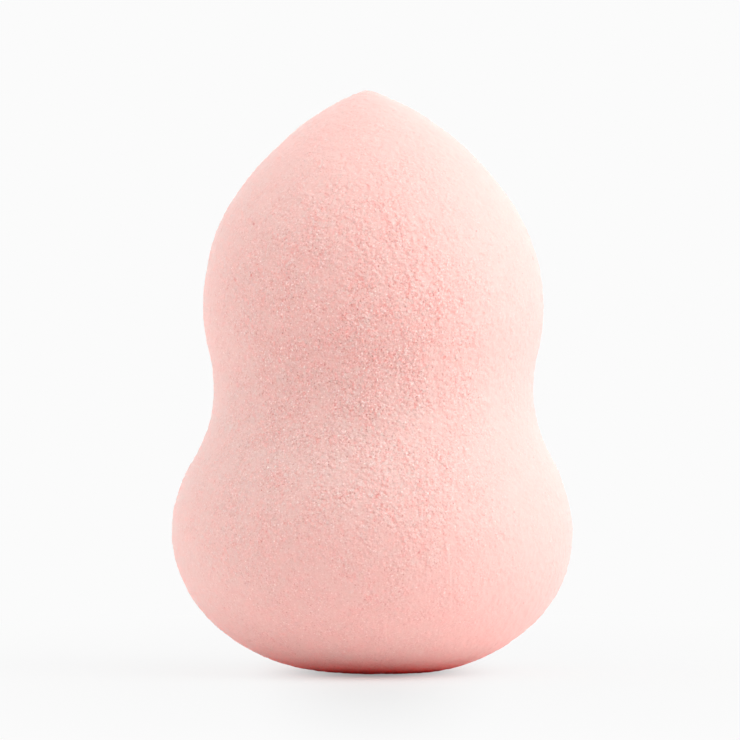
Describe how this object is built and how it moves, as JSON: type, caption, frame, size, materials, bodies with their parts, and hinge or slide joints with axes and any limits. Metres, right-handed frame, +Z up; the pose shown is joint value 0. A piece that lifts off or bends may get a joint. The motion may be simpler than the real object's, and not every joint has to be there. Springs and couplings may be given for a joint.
{
  "type": "makeup sponge",
  "caption": "Gourd-shaped foam makeup sponge with a wide rounded base, a soft waist and a pointed tip, for dabbing and blending on the face.",
  "frame": {"origin": "middle of the flat foot, on the surface that the sponge stands on", "axes": "+Z up the axis of revolution to the tip, +X to the right in the picture, +Y away from its viewer"},
  "size_m": [0.0412, 0.0412, 0.06],
  "materials": {
    "foam": "matt, finely porous ground polyurethane foam, dyed pale pink right through"
  },
  "bodies": {
    "root": {"foam_body": "foam"}
  },
  "joints": []
}
